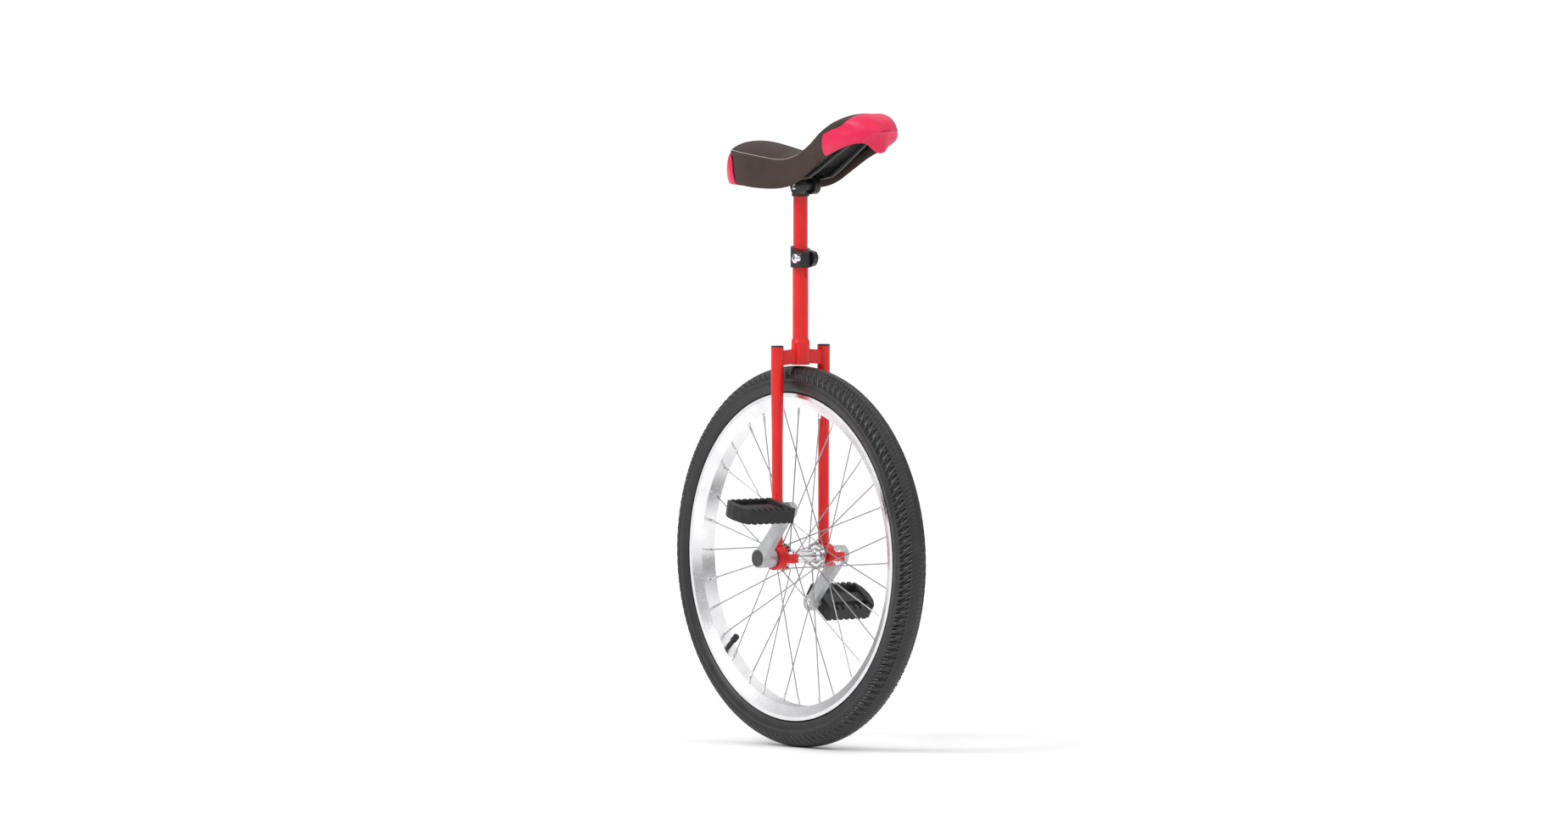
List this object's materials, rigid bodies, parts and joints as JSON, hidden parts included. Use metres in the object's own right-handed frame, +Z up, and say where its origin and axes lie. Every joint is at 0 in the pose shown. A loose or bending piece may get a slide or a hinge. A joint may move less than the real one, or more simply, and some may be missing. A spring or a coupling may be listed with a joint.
{
  "type": "unicycle",
  "caption": "Unicycle with a spoked wheel, two-leg fork, cranks and platform pedals, a clamped seat post and a padded saddle with a front grab handle.",
  "frame": {"origin": "the tyre's contact with the ground, under the middle of the axle", "axes": "+X forward, towards the saddle's grab handle; +Y along the axle to the rider's left; +Z up"},
  "size_m": [0.61, 0.39, 1.017],
  "materials": {
    "tyre_rubber": "satin",
    "tube_rubber": "matte",
    "tape_rubber": "matte",
    "rim_metal": "polished",
    "valve_rubber": "matte",
    "cap_plastic": "matte",
    "spoke_steel": "polished",
    "hub_chrome": "polished",
    "axle_steel": "machined",
    "bearing_steel": "polished",
    "crank_metal": "satin",
    "bolt_steel": "polished",
    "pedal_plastic": "matte",
    "bush_plastic": "matte",
    "red_paint": "gloss",
    "black_metal": "satin",
    "base_plastic": "matte",
    "saddle_foam": "matte",
    "saddle_leather": "satin",
    "pink_plastic": "gloss"
  },
  "bodies": {
    "frame": {"bearing_outer_rings": "bearing_steel", "seat_tube": "red_paint", "crown_sleeve": "red_paint", "right_crown_arm": "red_paint", "left_crown_arm": "red_paint", "right_fork_leg": "red_paint", "left_fork_leg": "red_paint", "right_leg_cap": "cap_plastic", "left_leg_cap": "cap_plastic", "right_bearing_holder": "red_paint", "left_bearing_holder": "red_paint", "right_holder_cap": "red_paint", "left_holder_cap": "red_paint", "holder_bolts": "bolt_steel", "holder_nuts": "bolt_steel", "seat_collar": "black_metal", "collar_bolt": "bolt_steel", "collar_nut": "bolt_steel"},
    "wheel": {"tyre": "tyre_rubber", "inner_tube": "tube_rubber", "rim_tape": "tape_rubber", "rim": "rim_metal", "valve_stem": "valve_rubber", "valve_cap": "cap_plastic", "right_spokes": "spoke_steel", "left_spokes": "spoke_steel", "spoke_nipples": "spoke_steel", "hub_shell": "hub_chrome", "hub_axle": "axle_steel", "axle_spacers": "axle_steel", "bearing_inner_rings": "bearing_steel", "bearing_balls": "bearing_steel", "right_crank": "crank_metal", "left_crank": "crank_metal", "crank_bolts": "bolt_steel", "crank_dust_caps": "cap_plastic", "right_pedal_spindle": "bolt_steel", "left_pedal_spindle": "bolt_steel"},
    "right_pedal": {"right_pedal_body": "pedal_plastic", "right_pedal_bushes": "bush_plastic", "right_pedal_end_cap": "cap_plastic"},
    "left_pedal": {"left_pedal_body": "pedal_plastic", "left_pedal_bushes": "bush_plastic", "left_pedal_end_cap": "cap_plastic"},
    "post": {"seat_post": "red_paint", "saddle_clip": "black_metal", "clip_bolt": "bolt_steel", "clip_nut": "bolt_steel", "clip_inner_discs": "black_metal"},
    "saddle": {"rail_clamps": "black_metal", "saddle_rails": "black_metal", "saddle_base": "base_plastic", "saddle_foam": "saddle_foam", "saddle_top_cover": "saddle_leather", "right_side_panel": "saddle_leather", "left_side_panel": "saddle_leather", "front_handle": "pink_plastic", "rear_bumper": "pink_plastic", "handle_screws": "bolt_steel"}
  },
  "joints": [
    {"name": "wheel_spin", "type": "hinge", "parent": "frame", "child": "wheel", "pos_m": [0, 0, 0.305], "axis": [0, 1, 0], "continuous": true},
    {"name": "right_pedal_spin", "type": "hinge", "parent": "wheel", "child": "right_pedal", "pos_m": [0.07502, -0.146, 0.38545], "axis": [0, 1, 0], "continuous": true},
    {"name": "left_pedal_spin", "type": "hinge", "parent": "wheel", "child": "left_pedal", "pos_m": [-0.07502, 0.146, 0.22455], "axis": [0, 1, 0], "continuous": true},
    {"name": "seat_post_slide", "type": "slide", "parent": "frame", "child": "post", "axis": [0, 0, 1], "range_m": [-0.075, 0.035]},
    {"name": "saddle_tilt", "type": "hinge", "parent": "post", "child": "saddle", "pos_m": [0.013, 0, 0.899], "axis": [0, 1, 0], "range_deg": [-15, 15]}
  ]
}
